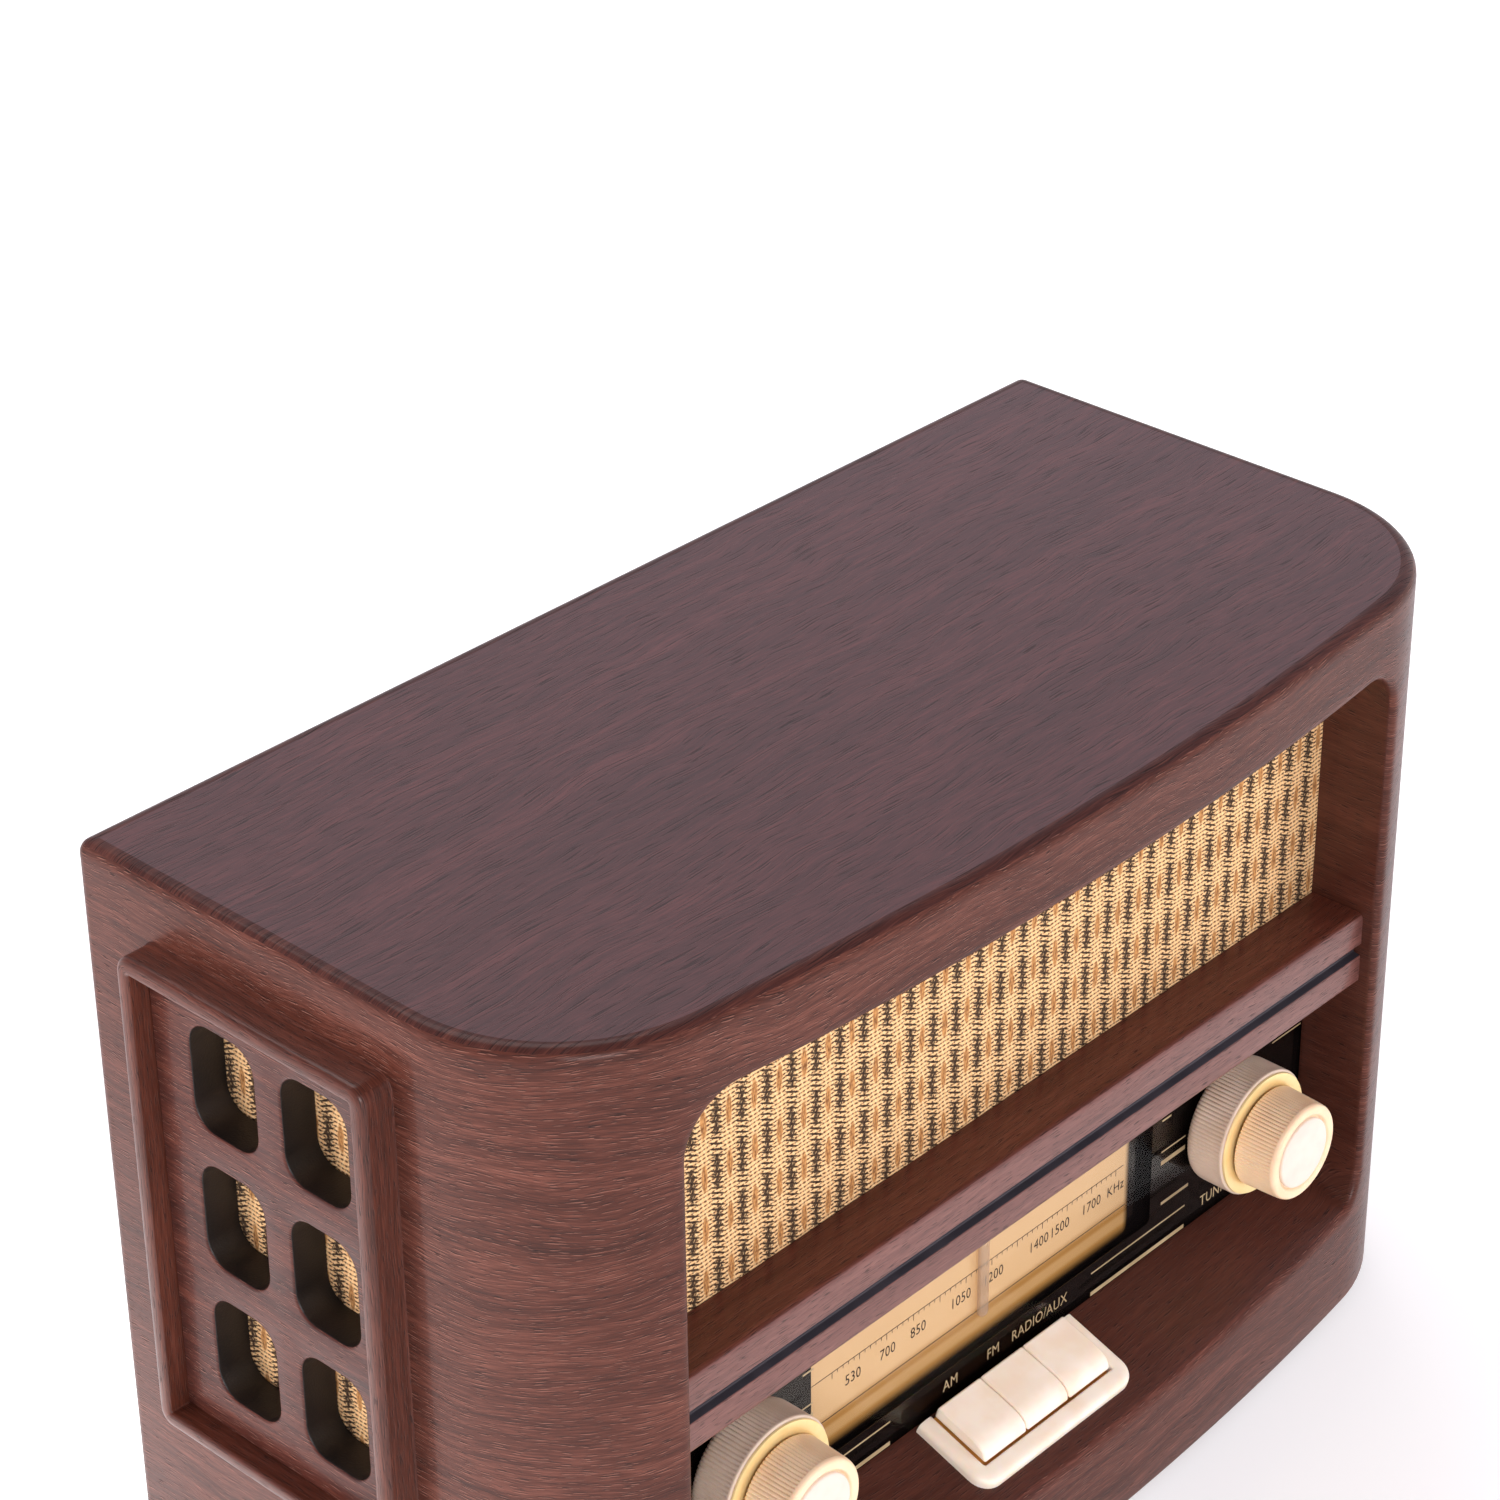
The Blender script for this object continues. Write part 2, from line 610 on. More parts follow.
BOW_Y = FRONT_Y + BOW_R
CORNER_X = HALF_X - CORNER_R
CORNER_Y = BOW_Y - sqrt((BOW_R - CORNER_R) ** 2 - CORNER_X**2)
BOW_ANGLE = asin(CORNER_X / (BOW_R - CORNER_R))
BOW_RUN = BOW_R * BOW_ANGLE
CORNER_END = BOW_RUN + CORNER_R * (pi / 2 - BOW_ANGLE)
SIDE_END = CORNER_END + BACK_Y - BACK_R - CORNER_Y
BACK_CORNER_END = SIDE_END + BACK_R * pi / 2

# heights of the skin's rows: below the recess's straight side, beside it and above it
LOW_ROWS = [12.0, 20.0, 28.0, 35.0, OPEN_LOW + OPEN_R]
SIDE_ROWS = span(LOW_ROWS[-1], HOLE_Z[0], 4) + span(HOLE_Z[0], OPEN_TOP - OPEN_R, 7)[1:]
HIGH_ROWS = [174.0, 178.0, HOLE_Z[1], 188.5, WRAP_TOP]


def plan(run, inset=0.0):
    """Point of the cabinet's outline, run mm round from the middle of the front."""
    s, sign = abs(run), copysign(1.0, run)
    tight = max(BACK_R - inset, 0.05)
    corner = (HALF_X - inset - tight, BACK_Y - inset - tight)
    if s <= BOW_RUN:
        angle = s / BOW_R
        nx, ny = sin(angle), -cos(angle)
        x, y = (BOW_R - inset) * nx, BOW_Y + (BOW_R - inset) * ny
    elif s <= CORNER_END:
        angle = BOW_ANGLE + (s - BOW_RUN) / CORNER_R
        nx, ny = sin(angle), -cos(angle)
        x, y = CORNER_X + (CORNER_R - inset) * nx, CORNER_Y + (CORNER_R - inset) * ny
    elif s <= SIDE_END:
        part = (s - CORNER_END) / (SIDE_END - CORNER_END)
        x, y = HALF_X - inset, CORNER_Y + (corner[1] - CORNER_Y) * part
    elif s <= BACK_CORNER_END:
        angle = (s - SIDE_END) / BACK_R
        x, y = corner[0] + tight * cos(angle), corner[1] + tight * sin(angle)
    else:
        x, y = corner[0] * (1 - (s - BACK_CORNER_END) / (HALF_X - BACK_R)), BACK_Y - inset
    return sign * x, y


def run_at(x):
    """How far round the front the outline passes x."""
    s = abs(x)
    if s <= BOW_R * sin(BOW_ANGLE):
        run = BOW_R * asin(s / BOW_R)
    else:
        run = BOW_RUN + CORNER_R * (asin((s - CORNER_X) / CORNER_R) - BOW_ANGLE)
    return copysign(run, x)


def ramp_height(y):
    return RAMP_Z + (y - BOARD_Y) * RAMP_SLOPE


def outline():
    """Right half of the recess outline, upwards: x, z, outward normal and the skin point it faces."""
    inner_x = OPEN_HALF - OPEN_R
    low, high = OPEN_LOW + OPEN_R, OPEN_TOP - OPEN_R
    made = [(x, OPEN_LOW, 0, -1, run_at(x), SKIN_LOW) for x in span(0, inner_x, 14)]
    corner = [(t, SKIN_LOW) for t in span(run_at(inner_x), SKIN_RUN, 5)[1:]]
    corner += [(SKIN_RUN, z) for z in LOW_ROWS]
    for a, target in zip(span(-pi / 2, 0, len(corner))[1:], corner[:-1]):
        nx, nz = cos(a), sin(a)
        made.append((inner_x + OPEN_R * nx, low + OPEN_R * nz, nx, nz, *target))
    made += [(OPEN_HALF, z, 1, 0, SKIN_RUN, z) for z in SIDE_ROWS]
    corner = [(SKIN_RUN, z) for z in HIGH_ROWS]
    corner += [(t, WRAP_TOP) for t in span(SKIN_RUN, run_at(inner_x), 5)[1:]]
    for a, target in zip(span(0, pi / 2, len(corner))[1:], corner[:-1]):
        nx, nz = cos(a), sin(a)
        made.append((inner_x + OPEN_R * nx, high + OPEN_R * nz, nx, nz, *target))
    made += [(x, OPEN_TOP, 0, 1, run_at(x), WRAP_TOP) for x in span(inner_x, 0, 14)]
    return made


def cabinet_wrap():
    """Veneered front and sides in one skin, with the recess walls and the sloping recess floor."""
    shape = Shape()
    half = outline()
    points = [(-x, z, -nx, nz, -t, s) for x, z, nx, nz, t, s in reversed(half)][:-1] + half
    rows, flat = [], []
    for x, z, nx, nz, run, skin_z in points:
        face_y = plan(run_at(x))[1]
        lip_z = max(z, ramp_height(face_y))
        ring_x, ring_z = x + nx * EDGE_SOFT, lip_z + nz * EDGE_SOFT
        ring_run = run_at(ring_x)
        ring = (*plan(ring_run), ring_z)
        inner_y = face_y + EDGE_SOFT
        inner = (x, inner_y, max(z, ramp_height(inner_y)))
        depths = span(BOARD_Y + 0.6, inner_y, WALL_STEPS)[:-1]
        column = [(x, y, max(z, ramp_height(y))) for y in depths]
        column += curve(inner, (x, face_y, lip_z), ring, 5)
        total = lengths(column)[-1]
        places = [(ring_run - nx * (total - s), ring_z - nz * (total - s)) for s in lengths(column)]
        for k in range(1, 4):
            t, s = ring_run + (run - ring_run) * k / 3, ring_z + (skin_z - ring_z) * k / 3
            column.append((*plan(t), s))
            places.append((t, s))
        rows.append(column)
        flat.append(places)
    shape.grid(rows, flat, lambda i, j: 1 if j <= WALL_STEPS else 0)

    # sides and back edges
    levels = [SKIN_LOW] + LOW_ROWS + SIDE_ROWS[1:] + HIGH_ROWS
    hole_run = [CORNER_END + y - CORNER_Y for y in grown(*PANEL_Y, MOULD_GAP)]
    runs = span(SKIN_RUN, CORNER_END, 16) + hole_run + span(SIDE_END, BACK_CORNER_END, 4)
    runs.append(BACK_CORNER_END + HALF_X - BACK_R - INNER_X)

    def in_hole(i, j):
        low, high = grown(*HOLE_Z, 0.01)
        return runs[j] == hole_run[0] and levels[i] >= low and levels[i + 1] <= high

    for sign in (-1, 1):
        columns = [plan(t * sign) for t in runs] + [(sign * INNER_X, 58.0)]
        places = [t * sign for t in runs] + [(runs[-1] + 15.0) * sign]
        rows = [[(x, y, z) for x, y in columns] for z in levels]
        flat = [[(t, z) for t in places] for z in levels]
        shape.grid(rows, flat, 0, in_hole)

    # rounded foot of the skin, turned under the cabinet
    front = [h[4] for h in half if h[5] == SKIN_LOW]
    feet = front + [t for t in runs if t > front[-1] + 0.01]
    feet = [-t for t in reversed(feet)][:-1] + feet
    turn = curve((0.0, SKIN_LOW), (0.0, BOTTOM_Z), (1.2, BOTTOM_Z), 3) + [(10.0, BOTTOM_Z)]
    rows = [[(*plan(t, inset), z) for t in feet] for inset, z in turn]
    flat = [[(t, z - inset) for t in feet] for inset, z in turn]
    shape.grid(rows, flat)
    return shape.make("cabinet_veneer", [VENEER, SHELF], stands_for=["cabinet_wrap"])


def top_board():
    """Lid with its rounded edge."""
    shape = Shape()
    half = [0]
    ends = (BOW_RUN, CORNER_END, SIDE_END, BACK_CORNER_END, BACK_CORNER_END + HALF_X - BACK_R)
    for end, steps in zip(ends, (16, 22, 6, 6, 10)):
        half += span(half[-1], end, steps)[1:]
    runs = [-t for t in reversed(half)][:-1] + half
    edge = [(0.0, WRAP_TOP), (0.0, TOP_Z - ROUNDOVER)]
    edge += arc((ROUNDOVER, TOP_Z - ROUNDOVER), ROUNDOVER, pi, pi / 2, 8)[1:]
    edge.append((ROUNDOVER + 0.6, TOP_Z))
    run = lengths(edge)
    rows = [[(*plan(t, inset), z) for t in runs] for inset, z in edge]
    low = len(edge) // 2 + 1  # rows from here up carry on the lid's own grain
    shape.grid(rows[:low], [[(t, WRAP_TOP + s) for t in runs] for s in run[:low]])
    flat = [[plan(t, edge[-1][0] - (run[-1] - s)) for t in runs] for s in run]
    shape.grid(rows[low - 1 :], flat[low - 1 :], 2)
    shape.face(rows[-1][:-1], seen(rows, 0, 1)[-1][:-1], 1)
    under = [rows[0], [(*plan(t, 1.0), WRAP_TOP) for t in runs]]
    shape.grid(under, seen(under, 0, 1))
    shape.face(under[1][:-1], seen(under, 0, 1)[1][:-1])
    return shape.make("lid_board", [VENEER, LID, LID_EDGE], stands_for=["top_board"])


def mid_rail():
    """Rail across the recess, with a painted groove."""
    shape = Shape()
    low, high = RAIL_Z
    floor, lip = RAIL_FRONT + GROOVE_DEEP, GROOVE_HALF - 0.4
    profile = [(BOARD_Y, high), (RAIL_FRONT, high, 1.8), (RAIL_FRONT, GROOVE_Z + GROOVE_HALF, 0.35)]
    profile += [(floor, GROOVE_Z + lip, 0.3), (floor, GROOVE_Z - lip, 0.3)]
    profile += [(RAIL_FRONT, GROOVE_Z - GROOVE_HALF, 0.35), (RAIL_FRONT, low, 1.0), (BOARD_Y, low)]
    profile = soft(profile)
    run = lengths(profile)
    stations = span(-OPEN_HALF + 0.1, OPEN_HALF - 0.1, 24)
    rows = [[(x, y, z) for x in stations] for y, z in profile]
    flat = [[(x, s) for x in stations] for s in run]

    def painted(i, j):
        y, z = [(a + b) / 2 for a, b in zip(profile[i], profile[i + 1])]
        if abs(z - GROOVE_Z) < GROOVE_HALF + 0.05 and y > RAIL_FRONT + 0.25:
            return 3 if z > GROOVE_Z + lip - 0.3 else 2
        return 1 if z > high - 0.6 else 0

    shape.grid(rows, flat, painted)
    looks = [RAIL, RAIL_TOP, GROOVE, GROOVE_SHADE]
    return shape.make("recess_rail", looks, stands_for=["mid_rail"])


def rounded_sides(y0, y1, z0, z1, radius, bends=4, straight=2):
    """The four sides of a rounded rectangle, each from mid-corner to mid-corner."""
    left, right, low, high = y0 + radius, y1 - radius, z0 + radius, z1 - radius
    centres = [(left, low), (right, low), (right, high), (left, high)]
    sides = []
    for k in range(4):
        facing = radians(-90 + 90 * k)
        side = arc(centres[k], radius, facing - pi / 4, facing, bends)
        after = arc(centres[(k + 1) % 4], radius, facing, facing + pi / 4, bends)
        gap = list(zip(side[-1], after[0]))
        side += [tuple(a + (b - a) * i / straight for a, b in gap) for i in range(1, straight)]
        sides.append(side + after)
    return sides


def grown(low, high, margin):
    return low - margin, high + margin


def side_grille(side, sign):
    """Grille plate with six windows, its raised moulding and the cloth behind it."""

    def at(y, z, height):
        return (sign * (HALF_X + height), y, z)

    moulding = Shape()
    inner, outer = MOULD_GAP, MOULD_GAP + MOULD_WALL
    profile = [(outer + 0.25, 0.0), (outer, 0.7), (outer, MOULD_PROUD, 1.9)]
    profile = soft(profile + [(inner, MOULD_PROUD, 1.1), (inner, 0.2)], 5)
    run = lengths(profile)
    bands = []
    for offset, height in profile:
        radius = 0.5 + max(offset - inner, 0) / MOULD_WALL * 3.3
        bands.append(rounded_sides(*grown(*PANEL_Y, offset), *grown(*PANEL_Z, offset), radius, 4, 6))
    for k in range(4):
        rows = [[at(y, z, h) for y, z in band[k]] for band, (_, h) in zip(bands, profile)]
        along = k % 2
        flat = [[(p[along] + 40.0 * k, s + 12.0 * k) for p in band[k]] for band, s in zip(bands, run)]
        moulding.grid(rows, flat)
    moulding.make(f"moulding_{side}", MOULD, stands_for=[f"side_moulding_{side}"])

    plate = Shape()
    ys = [PANEL_Y[0], (WINDOW_Y[0] + WINDOW_Y[1]) / 2, PANEL_Y[1]]
    zs = [PANEL_Z[0], (WINDOW_Z[0] + WINDOW_Z[1]) / 2, (WINDOW_Z[1] + WINDOW_Z[2]) / 2, PANEL_Z[1]]
    edge = curve((0.7, 0.0), (0.0, 0.0), (0.0, 0.7), 3) + [(0.0, PANEL_THICK)]
    for a, cy in enumerate(WINDOW_Y):
        for b, cz in enumerate(WINDOW_Z):
            loops = []
            for grow, depth in edge:
                across = grown(cy, cy, WINDOW_W / 2 + grow)
                up = grown(cz, cz, WINDOW_H / 2 + grow)
                loops.append(rounded_sides(*across, *up, WINDOW_R + grow, 5, 3))
            cell = rounded_sides(ys[a], ys[a + 1], zs[b], zs[b + 1], 0.001, 1, 1)
            for k in range(4):
                ends = zip(cell[k][0], cell[k][-1])
                border = list(zip(*(span(a, b, len(loops[0][k]) - 1) for a, b in ends)))
                rings = [(border, PANEL_PROUD)]
                rings += [(loop[k], PANEL_PROUD - depth) for loop, (_, depth) in zip(loops, edge)]
                rows = [[at(y, z, h) for y, z in ring] for ring, h in rings]
                flat = [[(y, z + (PANEL_PROUD - h)) for y, z in ring] for ring, h in rings]
                plate.grid(rows, flat, lambda i, j: 1 if i >= 3 else 0)
    border = [(ys[0], zs[0]), (ys[2], zs[0]), (ys[2], zs[3]), (ys[0], zs[3]), (ys[0], zs[0])]
    for (ya, za), (yb, zb) in zip(border, border[1:]):
        rows = [[at(ya, za, h), at(yb, zb, h)] for h in (PANEL_PROUD, PANEL_PROUD - PANEL_THICK)]
        plate.grid(rows, [[(ya + za, h), (yb + zb, h)] for h in (2.0, 13.0)], 0)
    outward = (sign, 0, 0)
    plate_name, replaced = f"grille_plate_{side}", [f"side_grille_{side}"]
    plate.make(plate_name, [PLATE, BLACKED], stands_for=replaced, toward=outward)

    cloth = Shape()
    depth = PANEL_PROUD - PANEL_THICK - 0.3
    ys, zs = span(*grown(*PANEL_Y, -1), 24), span(*grown(*PANEL_Z, -1), 40)
    rows = [[at(y, z, depth + ripple(y, z)) for y in ys] for z in zs]
    cloth.grid(rows, [[(y * -sign, z) for y in ys] for z in zs])
    cloth_name, replaced = f"grille_cloth_{side}", [f"side_cloth_{side}"]
    piece = cloth.make(cloth_name, CLOTH, stands_for=replaced, toward=outward)


def ripple(a, b):
    """Slight unevenness of stretched cloth."""
    return 0.12 * sin(a * 0.11 + 0.6 * sin(b * 0.07)) * sin(b * 0.13)


def front_cloth():
    """Cloth behind the recess's upper part."""
    shape = Shape()
    xs, zs = span(*CLOTH_X, 104), span(*CLOTH_Z, 33)
    rows = [[(x, BOARD_Y + 0.3 + ripple(x, z), z) for x in xs] for z in zs]
    shape.grid(rows, [[(x, z) for x in xs] for z in zs])
    replaced = ["grille_cloth_front"]
    piece = shape.make("grille_cloth_wide", CLOTH, stands_for=replaced, toward=(0, -1, 0))


cabinet_wrap()
top_board()
mid_rail()
for side, sign in (("left", -1), ("right", 1)):
    side_grille(side, sign)
front_cloth()

# ---------------- dial


def slab(name, boxes, look, y, thick, body="radio", stands_for=()):
    """Thin printed areas, each (x0, x1, z0, z1), standing thick mm off y towards the front."""
    shape = Shape()
    for x0, x1, z0, z1 in boxes:
        loop = [(x0, z0), (x1, z0), (x1, z1), (x0, z1), (x0, z0)]
        front = [(x, y - thick, z) for x, z in loop]
        back = [(x, y, z) for x, z in loop]
        shape.grid([front, back], [[(x, z) for x, z in loop]] * 2)
        for layer in (front, back):
            shape.face(layer[:-1], loop[:-1])
    return shape.make(name, look, body, stands_for)


def lettering(name, words, look, y):
    """Words as (text, x, z, height), centred there on the plane y and facing the front."""
    shape = Shape()
    for text, x, z, height in words:
        font = bpy.data.curves.new(name + "_font", "FONT")
        font.body = text
        font.size = height / CAPITAL_HEIGHT
        font.align_x = font.align_y = "CENTER"
        font.space_character = 1.05
        font.resolution_u = 3
        holder = linked(name + "_holder", font)
        bpy.context.view_layer.update()
        solved = holder.evaluated_get(bpy.context.evaluated_depsgraph_get())
        mesh = bpy.data.meshes.new_from_object(solved)
        for polygon in mesh.polygons:
            corners = [mesh.vertices[i].co for i in polygon.vertices]
            placed = [(x + c.x * LETTER_WIDTH, y, z + c.y) for c in corners]
            shape.face(placed, [(c.x, c.y) for c in corners])
        bpy.data.objects.remove(holder)
        bpy.data.curves.remove(font)
        bpy.data.meshes.remove(mesh)
    return shape.make(name, look, toward=(0, -1, 0))


left, right, low, high = -121.8, 121.8, 32.2, 96.8
borders = [(left, -MASK_HALF, low, high), (MASK_HALF, right, low, high)]
borders.append((-MASK_HALF, MASK_HALF, low, MASK_LOW))
slab("dial_mask", borders, MASK, GLASS_BACK + 0.25, 0.15)

AM_Z, FM_Z, NUMERAL = 61.2, 82.0, 2.8
AM_ROW = {"530": -43.2, "700": -31.7, "850": -21.4, "1050": -6.8, "1200": 4.6}
AM_ROW |= {"1400": 20.8, "1500": 28.4, "1700": 40.0, "KHz": 49.0}
FM_ROW = {"88": -43.2, "92": -29.0, "96": -15.0, "100": -0.5, "104": 14.5, "108": 29.0, "MHz": 46.5}
numerals = [(text, x, AM_Z, NUMERAL) for text, x in AM_ROW.items()]
numerals += [(text, x, FM_Z, NUMERAL) for text, x in FM_ROW.items()] + [("1", -58.2, 58.0, 2.5)]
lettering("dial_numerals", numerals, PRINT_GREY, SCALE_Y - 0.04)

AM_LINE, FM_LINE = 66.4, 77.2
ticks = [(-58.5, 51.8, z - 0.2, z) for z in (AM_LINE, FM_LINE)] + [(-59.4, 53.0, 54.3, 54.55)]
for i in range(56):
    x = -50.0 + i * 1.8
    tall = 1.8 if i % 5 == 0 else 1.0
    ticks += [(x - 0.09, x + 0.09, low, low + tall) for low in (AM_LINE - tall, FM_LINE)]
slab("dial_ticks", ticks, PRINT_GREY, SCALE_Y, 0.03)

words = [("AM", -KEY_PITCH, 44.6, 2.9), ("FM", 0.0, 44.6, 2.9), ("RADIO/AUX", 16.6, 44.6, 2.9)]
words += [("VOLUME", -KNOB_X, 43.6, 3.0), ("TUNING", KNOB_X, 43.6, 3.0)]
lettering("dial_words", words, PRINT_GOLD, BOARD_Y - 0.03)

rules = []
for x0, x1, z0, z1 in (
    (35.5, 71.0, 45.95, 46.35),
    (35.5, 71.0, 39.6, 40.7),
    (60.6, 64.0, 75.8, 76.3),
    (60.8, 70.0, 66.8, 67.2),
    (60.8, 70.0, 63.2, 64.4),
    (61.5, 72.0, 51.4, 52.2),
    (101.5, 115.0, 57.6, 58.3),
    (103.5, 115.0, 76.0, 76.4),
):
    rules += [(x0, x1, z0, z1), (-x1, -x0, z0, z1)]
slab("dial_rules", rules, PRINT_GOLD, BOARD_Y, 0.03)


def pointer():
    """Clear bar with a round lower end."""
    shape = Shape()
    x, half, low, high = -0.5, 1.5, 53.5, 98.0
    tip = low + half
    loop = [(half, high)] + arc((0.0, tip), half, 0.0, -pi, 12) + [(-half, high), (half, high)]
    y0, y1 = BOARD_Y + 2.2, BOARD_Y + 3.6
    layers = []
    for y, inset in ((y0, 0.3), (y0 + 0.3, 0.0), (y1 - 0.3, 0.0), (y1, 0.3)):
        scale = (half - inset) / half
        layers.append([(x + a * scale, y, b if b > tip else tip + (b - tip) * scale) for a, b in loop])
    shape.grid(layers, seen(layers, 0, 2))
    for layer in (layers[0], layers[-1]):
        shape.face(layer[:-1], seen([layer[:-1]], 0, 2)[0])
    shape.make("pointer_bar", ACRYLIC, "pointer", ["tuning_pointer"])


pointer()

# ---------------- knobs


def ribbed(points):
    return [(a, b, 1) for a, b in points]


def knob_set(x, front_name, front_body, ring_name, ring_body):
    """Ribbed rear ring with a gilt flange, ribbed front knob and a pearl cap, all on one axis."""
    bore, rim, back, front = 3.3, RING_R, RING_BACK, RING_FRONT
    ring = Shape()
    profile = [(bore, back), (13.6, back)]
    profile += ribbed(curve((14.0, back), (rim - 0.1, back), (rim, back - 2.2), 5))
    profile += ribbed((rim, y) for y in span(back - 2.8, front + 1.0, 4))
    profile += [(rim, front + 0.6), (rim - 0.1, front + 0.25), (rim - 0.45, front), (bore, front)]
    turned(ring, profile + [(bore, back)], x, KNOB_Z, RING_RIBS * COLUMNS_PER_RIB, RING_RIBS, 0.32)
    ring.make(f"{ring_name}_ribbed", IVORY_GREY, ring_body, [ring_name])

    flange = Shape()
    face, bore = front - 0.7, 3.4
    profile = [(bore, front), (15.3, front), (15.5, front - 0.25), (15.35, face + 0.08), (15.0, face)]
    profile += [(12.4, face), (12.2, face + 0.15), (bore, face + 0.15), (bore, front)]
    turned(flange, profile, x, KNOB_Z, 128)
    flange.make(f"{ring_name}_gilt", GOLD, ring_body, [f"{ring_name}_flange"])

    rim, back, front = KNOB_R, KNOB_BASE, KNOB_FRONT
    knob = Shape()
    profile = [(0.0, -63.0), (1.8, -63.0), (1.8, back), (rim - 0.7, back)]
    profile += ribbed(curve((rim - 0.4, back), (rim, back), (rim, back - 0.5), 3))
    profile += ribbed(zip(span(rim, rim - 0.4, 5), span(back - 0.9, front + 1.5, 5)))
    profile += curve((rim - 0.45, front + 1.25), (rim - 0.55, front), (11.1, front), 6)
    profile += curve((10.3, front), (9.7, front), (9.5, front + 0.5), 3)
    profile += [(9.25, front + 0.9), (0.0, front + 0.9)]
    turned(knob, profile, x, KNOB_Z, KNOB_RIBS * COLUMNS_PER_RIB, KNOB_RIBS, 0.28)
    knob.make(f"{front_name}_ribbed", IVORY, front_body, [front_name])

    cap = Shape()
    profile = [(0.0, front + 0.9), (8.9, front + 0.9)]
    profile += curve((8.9, front + 0.25), (8.85, front - 0.1), (8.3, front - 0.2), 4)
    profile += [(5.5, front - 0.45), (2.5, front - 0.57), (0.0, front - 0.6)]
    turned(cap, profile, x, KNOB_Z, 96)
    cap.make(f"{front_name}_pearl", PEARL, front_body, [f"{front_name}_cap"])


knob_set(-KNOB_X, "volume_knob", "volume_dial", "tone_ring", "tone_dial")
knob_set(KNOB_X, "tuning_knob", "tuning_dial", "balance_ring", "balance_dial")

# ---------------- keys


def on_ramp(x, u, n):
    """A point u mm down the recess floor from the glass and n mm off it."""
    c, s = cos(RAMP_ANGLE), sin(RAMP_ANGLE)
    return (x, BOARD_Y - u * c - n * s, RAMP_Z - u * s + n * c)


def key_bezel():
    """Pillowed surround of the keys, open towards the glass."""
    shape = Shape()
    half, back, low, radius = 27.0, 0.4, 21.8, 5.0
    well_half, well_low, well_r = 22.7, 17.0, 0.6
    outer, inner = [], []
    for u in span(back, low - radius, 6)[:-1]:
        outer.append((-half, u))
        part = (u - back) / (low - radius - back)
        inner.append((-well_half, back + (well_low - well_r - back) * part))
    outer += arc((radius - half, low - radius), radius, pi, pi / 2, 10)
    inner += arc((well_r - well_half, well_low - well_r), well_r, pi, pi / 2, 10)
    for x in span(-half + radius, 0, 8)[1:]:
        outer.append((x, low))
        inner.append((x * (well_half - well_r) / (half - radius), well_low))
    outer += [(-x, u) for x, u in reversed(outer[:-1])]
    inner += [(-x, u) for x, u in reversed(inner[:-1])]
    rows = []
    for (xo, uo), (xi, ui) in zip(outer, inner):
        width = dist((xo, uo), (xi, ui))
        profile = [(0.0, 0.0)] + curve((0.0, 1.1), (0.1, 2.4), (1.5, 2.6), 5)
        profile += [(width * 0.5, 2.68)]
        profile += curve((width - 0.7, 2.62), (width, 2.6), (width, 1.9), 4) + [(width, 0.2)]
        across, down = (xi - xo) / width, (ui - uo) / width
        rows.append([on_ramp(xo + across * d, uo + down * d, n) for d, n in profile])
    shape.grid(rows, seen(rows, 0, 1))
    for row in (rows[0], rows[-1]):
        shape.face(row, seen([row], 1, 2)[0])
    shape.make("key_surround", KEY_IVORY, stands_for=["key_bezel"])

    well = Shape()
    corners = [(-well_half, back), (well_half, back), (well_half, well_low), (-well_half, well_low)]
    well.face([on_ramp(x, u, 0.14) for x, u in corners], corners)
    well.make("key_well_floor", KEY_WELL, toward=(0, -0.3, 1))


def key(name, body, x):
    """Key cap with a rounded nose."""
    shape = Shape()
    half = KEY_PITCH / 2 - 0.2
    profile = [(0.8, 2.3), (0.8, 5.4), (6.0, 5.55), (10.6, 5.6)]
    profile += curve((11.6, 5.58), (15.9, 5.3), (16.6, 2.3), 9)
    closed = profile + profile[:1]
    rows = [[on_ramp(x + e, u, n) for u, n in closed] for e in (-half, half)]
    run = lengths(closed)
    shape.grid(rows, [[(s, e) for s in run] for e in (-half, half)])
    for row in rows:
        shape.face(row[:-1], profile)
    piece = shape.make(f"{name}_cap", KEY_IVORY, body, [name])
    soften(piece, 0.45, 3, 40.0)


def soften(piece, width, segments, angle, weld=False):
    """Rounds a piece's edges with modifiers, leaving its mesh alone."""
    if weld:
        joined = piece.modifiers.new("weld", "WELD")
        joined.merge_threshold = 0.00002
    edge = piece.modifiers.new("edge", "BEVEL")
    edge.width = width * MM
    edge.segments = segments
    edge.limit_method = "ANGLE"
    edge.angle_limit = radians(angle)
    edge.use_clamp_overlap = True


key_bezel()
key("band_key_am", "am_key", -KEY_PITCH)
key("band_key_fm", "fm_key", 0.0)
key("source_key", "source", KEY_PITCH)

# ---------------- back, feet, carried-over parts


def on_back(name, profile, x, z, look, stands_for=(), columns=48):
    """A turned piece of the back; the profile's second values are mm out from the panel."""
    shape = Shape()
    turned(shape, [(r, BACK_FACE + out) for r, out in profile], x, z, columns)
    return shape.make(name, look, stands_for=stands_for)


profile = [(0.0, -14.0), (5.0, -14.0), (5.0, 0.0), (6.5, 0.0)]
profile += curve((6.5, 0.7), (6.5, 1.2), (6.0, 1.2), 3)
profile += [(2.4, 1.2), (1.8, 0.7), (1.8, -8.0), (0.0, -8.0)]
on_back("aux_jack_ring", profile, -50.0, 38.0, BLACK, ["aux_jack"])

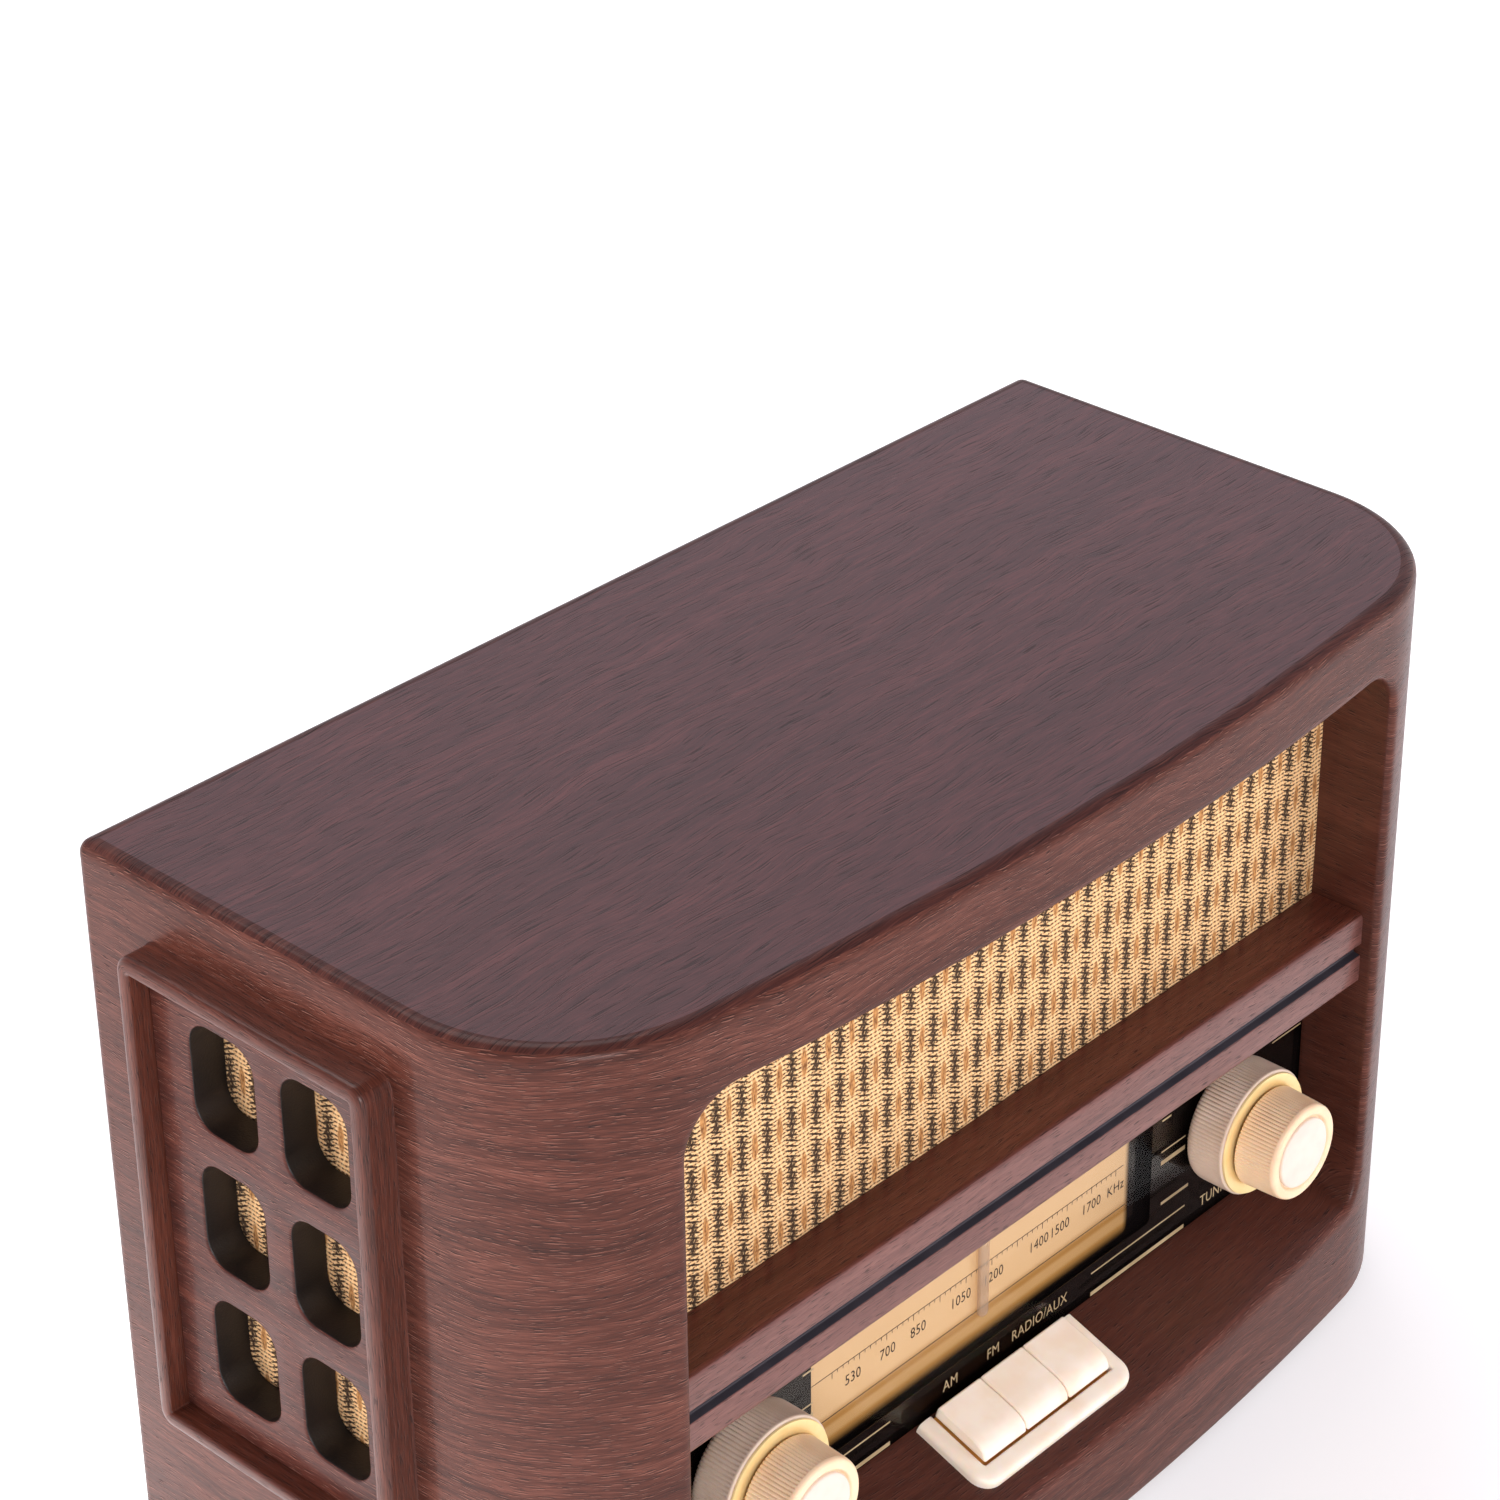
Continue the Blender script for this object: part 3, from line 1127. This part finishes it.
profile = [(0.0, -12.0), (6.0, -12.0), (6.0, 0.0), (8.0, 0.0)]
profile += curve((8.0, 0.7), (8.0, 1.2), (7.5, 1.2), 3)
profile += [(4.7, 1.2), (4.6, 1.4), (4.6, 3.1), (4.3, 3.4)]
profile += [(1.7, 3.4), (1.4, 3.1), (1.4, -6.0), (0.0, -6.0)]
on_back("aerial_socket_ring", profile, 90.0, 150.0, STEEL, ["aerial_socket"])

# pan-head screws with a dimpled head, seated on the panel
profile = [(0.0, -3.0), (1.4, -3.0), (1.4, 0.0), (3.2, 0.0)]
profile += curve((3.2, 0.5), (3.1, 1.5), (1.6, 1.75), 5)
profile += [(0.9, 1.8), (0.55, 0.9), (0.0, 0.7)]
screw_places = [(x, z) for x in (-126.0, 0.0, 126.0) for z in (20.0, 184.0)]
screw_places += [(-126.0, 100.0), (126.0, 100.0)]
for i, (x, z) in enumerate(screw_places):
    on_back(f"back_screw_{i + 1}", profile, x, z, STEEL, columns=32)

pins = Shape()
for x in (-96.3, -87.7):
    profile = [(0.0, 60.0), (1.2, 60.0), (1.2, 67.0), (0.9, 67.6), (0.0, 67.8)]
    turned(pins, profile, x, 38.0, 24)
pins.make("inlet_pins", STEEL)

profile = [(0.0, 0.0), (7.4, 0.0)] + curve((8.0, 0.0), (8.8, 0.1), (9.1, 1.2), 4)
profile += [(9.5, BOTTOM_Z), (0.0, BOTTOM_Z)]
for end, y in (("front", -34.0), ("back", 54.0)):
    for side, x in (("left", -118.0), ("right", 118.0)):
        shape = Shape()
        turned(shape, profile, x, y, 48, upright=True)
        name = f"foot_{end}_{side}"
        shape.make(f"{name}_pad", RUBBER, stands_for=[name])

slot_of = {entry["node"]: entry["material_slot"] for entry in frame["record"]["subparts"]}
for name, node in nodes.items():
    look = SLOT_LOOKS[slot_of[name]]
    for holder in node.material_slots:
        holder.material = look
for name in ("back_panel", "power_inlet"):
    soften(nodes[name], 0.5, 2, 40.0, weld=True)

# ---------------- stage, camera and light

FLOOR_HALF = 6.0  # m
floor_mesh = bpy.data.meshes.new("studio_floor")
cells = bmesh.new()
bmesh.ops.create_grid(cells, x_segments=8, y_segments=8, size=FLOOR_HALF)
cells.to_mesh(floor_mesh)
cells.free()
floor_mesh.materials.append(floor_paper())
floor = linked("studio_floor", floor_mesh)

world = bpy.data.worlds.new("studio")
world.use_nodes = True
sky = world.node_tree
place, split, tone = [sky.nodes.new("ShaderNode" + k) for k in ("TexCoord", "SeparateXYZ", "ValToRGB")]
zenith = (0.26, 0.25, 0.27, 1.0)
fill(tone.color_ramp, ((0.0, (1.0, 0.99, 1.0, 1.0)), (0.36, (0.90, 0.82, 0.95, 1.0)), (0.85, zenith)))
sky.links.new(place.outputs["Generated"], split.inputs[0])
sky.links.new(split.outputs["Z"], tone.inputs[0])
sky.links.new(tone.outputs[0], sky.nodes["Background"].inputs["Color"])
bpy.context.scene.world = world
bpy.context.scene.view_settings.view_transform = "Standard"


def soft_light(name, place, aim, size, watts, mirrored=True):
    lamp = bpy.data.lights.new(name, "AREA")
    lamp.shape = "RECTANGLE"
    lamp.size, lamp.size_y = size
    lamp.energy = watts
    holder = linked(name, lamp)
    holder.location = place
    holder.rotation_euler = (Vector(aim) - Vector(place)).to_track_quat("-Z", "Y").to_euler()
    holder.visible_glossy = mirrored  # False keeps its glare off the lid


soft_light("key_softbox", (-1.2, -1.8, 1.0), (0.0, 0.0, 0.1), (1.0, 0.9), 24.0)
soft_light("right_softbox", (1.5, -1.5, 0.5), (0.0, 0.0, 0.15), (0.9, 0.6), 15.0, False)
soft_light("left_softbox", (-1.6, 1.1, 0.6), (0.0, 0.0, 0.15), (0.9, 0.7), 25.0, False)
soft_light("top_softbox", (0.3, 0.9, 2.0), (0.0, 0.0, 0.1), (1.4, 1.0), 14.0)

CAMERA_PLACE = (-0.56008, -0.50117, 0.62166)
CAMERA_AZIMUTH, CAMERA_ELEVATION = -48.08, 28.385
camera_data = bpy.data.cameras.new("camera")
camera_data.lens = 96.0
camera_data.sensor_width = 36.0
camera_data.shift_x = -0.0560
camera_data.shift_y = -0.0845
camera_data.clip_start = 0.01
camera = linked("camera", camera_data)
camera.location = CAMERA_PLACE
camera.rotation_euler = (radians(90.0 - CAMERA_ELEVATION), 0.0, radians(CAMERA_AZIMUTH))
bpy.context.scene.camera = camera
